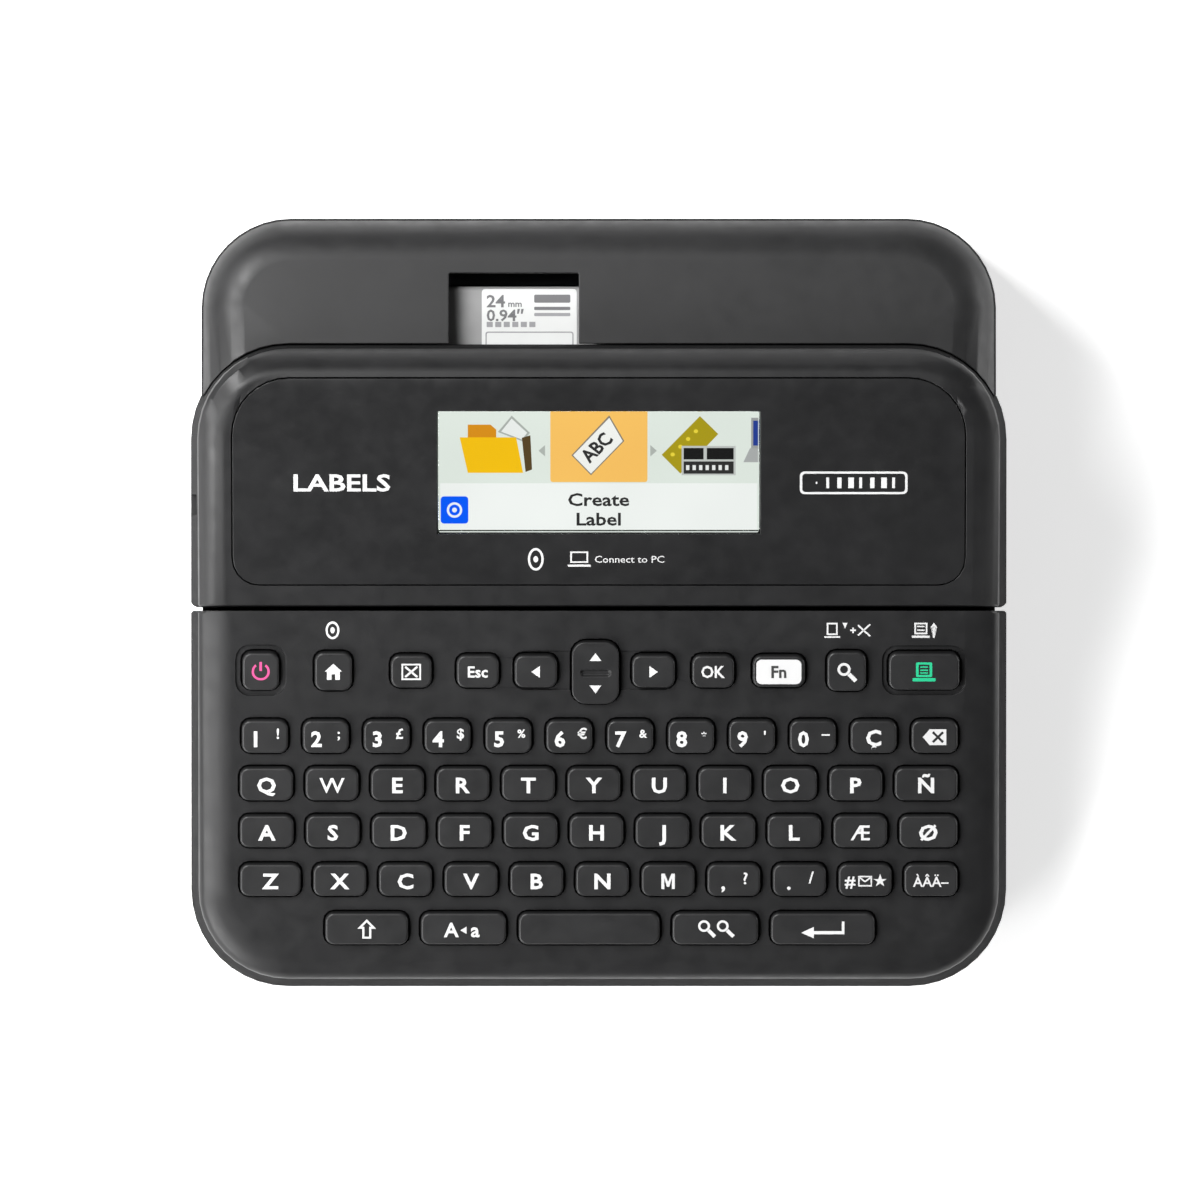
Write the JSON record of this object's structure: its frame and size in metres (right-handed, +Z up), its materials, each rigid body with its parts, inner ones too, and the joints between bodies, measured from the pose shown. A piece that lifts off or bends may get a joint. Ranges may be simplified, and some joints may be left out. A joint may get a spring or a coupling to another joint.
{
  "type": "desktop label maker",
  "caption": "Desktop label maker with a sloping keyboard, a raised display lid hinged at the back, and a tape bay with a window, roller and cutter inside.",
  "frame": {"origin": "centre of the overall box in plan, on the plane the feet stand on", "axes": "+Z up, -Y towards the user, +X to the user's right; the tape leaves on the -X side"},
  "size_m": [0.2014, 0.1896, 0.082],
  "materials": {
    "case_plastic": "fine matt texture",
    "deck_plastic": "fine satin texture",
    "hood_plastic": "fine satin texture",
    "panel_plastic": "semi-gloss",
    "key_plastic": "satin with printed white legends",
    "keypad_rubber": "satin silicone with printed white legends",
    "screen_clear": "clear cover over the lit picture",
    "display_glass": "lit picture behind the cover",
    "cassette_plastic": "smooth",
    "chassis_plastic": "smooth",
    "gear_plastic": "smooth",
    "brass_metal": "satin",
    "steel": "satin",
    "head_metal": "satin",
    "roller_rubber": "matt",
    "foot_rubber": "matt",
    "board_green": "solder mask",
    "pack_wrap": "shrink wrap",
    "socket_plastic": "smooth"
  },
  "bodies": {
    "base": {"lower_case": "case_plastic", "keyboard_deck": "deck_plastic", "letter_keypad": "keypad_rubber", "tape_chassis": "chassis_plastic", "tape_cassette": "cassette_plastic", "print_head": "head_metal", "feed_motor": "steel", "fixed_blade": "steel", "main_board": "board_green", "battery_pack": "pack_wrap", "power_socket": "socket_plastic", "data_socket": "steel", "foot_front_left": "foot_rubber", "foot_front_right": "foot_rubber", "foot_rear_left": "foot_rubber", "foot_rear_right": "foot_rubber", "hinge_pin_left": "steel", "hinge_pin_right": "steel"},
    "lid": {"display_housing": "deck_plastic", "rear_hood": "hood_plastic", "display_panel": "panel_plastic", "screen_cover": "screen_clear", "display_module": "display_glass"},
    "battery_cover": {"battery_cover": "case_plastic"},
    "platen": {"platen_roller": "roller_rubber", "platen_gear": "gear_plastic"},
    "idler": {"idler_gear": "gear_plastic"},
    "pinion": {"motor_pinion": "brass_metal"},
    "cutter": {"cutter_blade": "steel"},
    "key_rocker": {"key_rocker": "key_plastic"},
    "key_power": {"key_power": "key_plastic"},
    "key_home": {"key_home": "key_plastic"},
    "key_clear": {"key_clear": "key_plastic"},
    "key_escape": {"key_escape": "key_plastic"},
    "key_left": {"key_left": "key_plastic"},
    "key_right": {"key_right": "key_plastic"},
    "key_ok": {"key_ok": "key_plastic"},
    "key_function": {"key_function": "key_plastic"},
    "key_preview": {"key_preview": "key_plastic"},
    "key_print": {"key_print": "key_plastic"},
    "key_number_1": {"key_number_1": "key_plastic"},
    "key_number_2": {"key_number_2": "key_plastic"},
    "key_number_3": {"key_number_3": "key_plastic"},
    "key_number_4": {"key_number_4": "key_plastic"},
    "key_number_5": {"key_number_5": "key_plastic"},
    "key_number_6": {"key_number_6": "key_plastic"},
    "key_number_7": {"key_number_7": "key_plastic"},
    "key_number_8": {"key_number_8": "key_plastic"},
    "key_number_9": {"key_number_9": "key_plastic"},
    "key_number_0": {"key_number_0": "key_plastic"},
    "key_accent": {"key_accent": "key_plastic"},
    "key_backspace": {"key_backspace": "key_plastic"},
    "key_shift": {"key_shift": "key_plastic"},
    "key_caps": {"key_caps": "key_plastic"},
    "key_space": {"key_space": "key_plastic"},
    "key_symbol": {"key_symbol": "key_plastic"},
    "key_enter": {"key_enter": "key_plastic"}
  },
  "joints": [
    {"name": "key_power_press", "type": "slide", "parent": "base", "child": "key_power", "axis": [0, 0.225, -0.9744], "range_m": [0, 0.0012], "stiffness_N_per_m": 600},
    {"name": "key_home_press", "type": "slide", "parent": "base", "child": "key_home", "axis": [0, 0.225, -0.9744], "range_m": [0, 0.0012], "stiffness_N_per_m": 600},
    {"name": "key_clear_press", "type": "slide", "parent": "base", "child": "key_clear", "axis": [0, 0.225, -0.9744], "range_m": [0, 0.0012], "stiffness_N_per_m": 600},
    {"name": "key_escape_press", "type": "slide", "parent": "base", "child": "key_escape", "axis": [0, 0.225, -0.9744], "range_m": [0, 0.0012], "stiffness_N_per_m": 600},
    {"name": "key_left_press", "type": "slide", "parent": "base", "child": "key_left", "axis": [0, 0.225, -0.9744], "range_m": [0, 0.0012], "stiffness_N_per_m": 600},
    {"name": "key_right_press", "type": "slide", "parent": "base", "child": "key_right", "axis": [0, 0.225, -0.9744], "range_m": [0, 0.0012], "stiffness_N_per_m": 600},
    {"name": "key_ok_press", "type": "slide", "parent": "base", "child": "key_ok", "axis": [0, 0.225, -0.9744], "range_m": [0, 0.0012], "stiffness_N_per_m": 600},
    {"name": "key_function_press", "type": "slide", "parent": "base", "child": "key_function", "axis": [0, 0.225, -0.9744], "range_m": [0, 0.0012], "stiffness_N_per_m": 600},
    {"name": "key_preview_press", "type": "slide", "parent": "base", "child": "key_preview", "axis": [0, 0.225, -0.9744], "range_m": [0, 0.0012], "stiffness_N_per_m": 600},
    {"name": "key_print_press", "type": "slide", "parent": "base", "child": "key_print", "axis": [0, 0.225, -0.9744], "range_m": [0, 0.0012], "stiffness_N_per_m": 600},
    {"name": "key_number_1_press", "type": "slide", "parent": "base", "child": "key_number_1", "axis": [0, 0.225, -0.9744], "range_m": [0, 0.0012], "stiffness_N_per_m": 600},
    {"name": "key_number_2_press", "type": "slide", "parent": "base", "child": "key_number_2", "axis": [0, 0.225, -0.9744], "range_m": [0, 0.0012], "stiffness_N_per_m": 600},
    {"name": "key_number_3_press", "type": "slide", "parent": "base", "child": "key_number_3", "axis": [0, 0.225, -0.9744], "range_m": [0, 0.0012], "stiffness_N_per_m": 600},
    {"name": "key_number_4_press", "type": "slide", "parent": "base", "child": "key_number_4", "axis": [0, 0.225, -0.9744], "range_m": [0, 0.0012], "stiffness_N_per_m": 600},
    {"name": "key_number_5_press", "type": "slide", "parent": "base", "child": "key_number_5", "axis": [0, 0.225, -0.9744], "range_m": [0, 0.0012], "stiffness_N_per_m": 600},
    {"name": "key_number_6_press", "type": "slide", "parent": "base", "child": "key_number_6", "axis": [0, 0.225, -0.9744], "range_m": [0, 0.0012], "stiffness_N_per_m": 600},
    {"name": "key_number_7_press", "type": "slide", "parent": "base", "child": "key_number_7", "axis": [0, 0.225, -0.9744], "range_m": [0, 0.0012], "stiffness_N_per_m": 600},
    {"name": "key_number_8_press", "type": "slide", "parent": "base", "child": "key_number_8", "axis": [0, 0.225, -0.9744], "range_m": [0, 0.0012], "stiffness_N_per_m": 600},
    {"name": "key_number_9_press", "type": "slide", "parent": "base", "child": "key_number_9", "axis": [0, 0.225, -0.9744], "range_m": [0, 0.0012], "stiffness_N_per_m": 600},
    {"name": "key_number_0_press", "type": "slide", "parent": "base", "child": "key_number_0", "axis": [0, 0.225, -0.9744], "range_m": [0, 0.0012], "stiffness_N_per_m": 600},
    {"name": "key_accent_press", "type": "slide", "parent": "base", "child": "key_accent", "axis": [0, 0.225, -0.9744], "range_m": [0, 0.0012], "stiffness_N_per_m": 600},
    {"name": "key_backspace_press", "type": "slide", "parent": "base", "child": "key_backspace", "axis": [0, 0.225, -0.9744], "range_m": [0, 0.0012], "stiffness_N_per_m": 600},
    {"name": "key_shift_press", "type": "slide", "parent": "base", "child": "key_shift", "axis": [0, 0.225, -0.9744], "range_m": [0, 0.0012], "stiffness_N_per_m": 600},
    {"name": "key_caps_press", "type": "slide", "parent": "base", "child": "key_caps", "axis": [0, 0.225, -0.9744], "range_m": [0, 0.0012], "stiffness_N_per_m": 600},
    {"name": "key_space_press", "type": "slide", "parent": "base", "child": "key_space", "axis": [0, 0.225, -0.9744], "range_m": [0, 0.0012], "stiffness_N_per_m": 600},
    {"name": "key_symbol_press", "type": "slide", "parent": "base", "child": "key_symbol", "axis": [0, 0.225, -0.9744], "range_m": [0, 0.0012], "stiffness_N_per_m": 600},
    {"name": "key_enter_press", "type": "slide", "parent": "base", "child": "key_enter", "axis": [0, 0.225, -0.9744], "range_m": [0, 0.0012], "stiffness_N_per_m": 600},
    {"name": "rocker_tip", "type": "hinge", "parent": "base", "child": "key_rocker", "pos_m": [-0.0008, -0.01622, 0.0456], "axis": [1, 0, 0], "range_deg": [-4, 4], "stiffness_Nm_per_rad": 0.05},
    {"name": "lid_hinge", "type": "hinge", "parent": "base", "child": "lid", "pos_m": [0, 0.09155, 0.036], "axis": [-1, 0, 0], "range_deg": [0, 75]},
    {"name": "battery_cover_release", "type": "slide", "parent": "base", "child": "battery_cover", "axis": [0, 0, -1], "range_m": [0, 0.012]},
    {"name": "platen_spin", "type": "hinge", "parent": "base", "child": "platen", "pos_m": [-0.054, 0.0184, 0.0163], "axis": [0, 0, 1], "continuous": true},
    {"name": "idler_spin", "type": "hinge", "parent": "base", "child": "idler", "pos_m": [-0.06712, 0.03349, 0.0163], "axis": [0, 0, 1], "continuous": true},
    {"name": "pinion_spin", "type": "hinge", "parent": "base", "child": "pinion", "pos_m": [-0.07828, 0.04632, 0.0163], "axis": [0, 0, 1], "continuous": true},
    {"name": "cutter_swing", "type": "hinge", "parent": "base", "child": "cutter", "pos_m": [-0.0705, 0.022, 0.0274], "axis": [-1, 0, 0], "range_deg": [0, 18]}
  ],
  "couplings": [
    {"joint": "idler_spin", "follows": "platen_spin", "ratio": -0.66667},
    {"joint": "pinion_spin", "follows": "platen_spin", "ratio": 1.6}
  ]
}
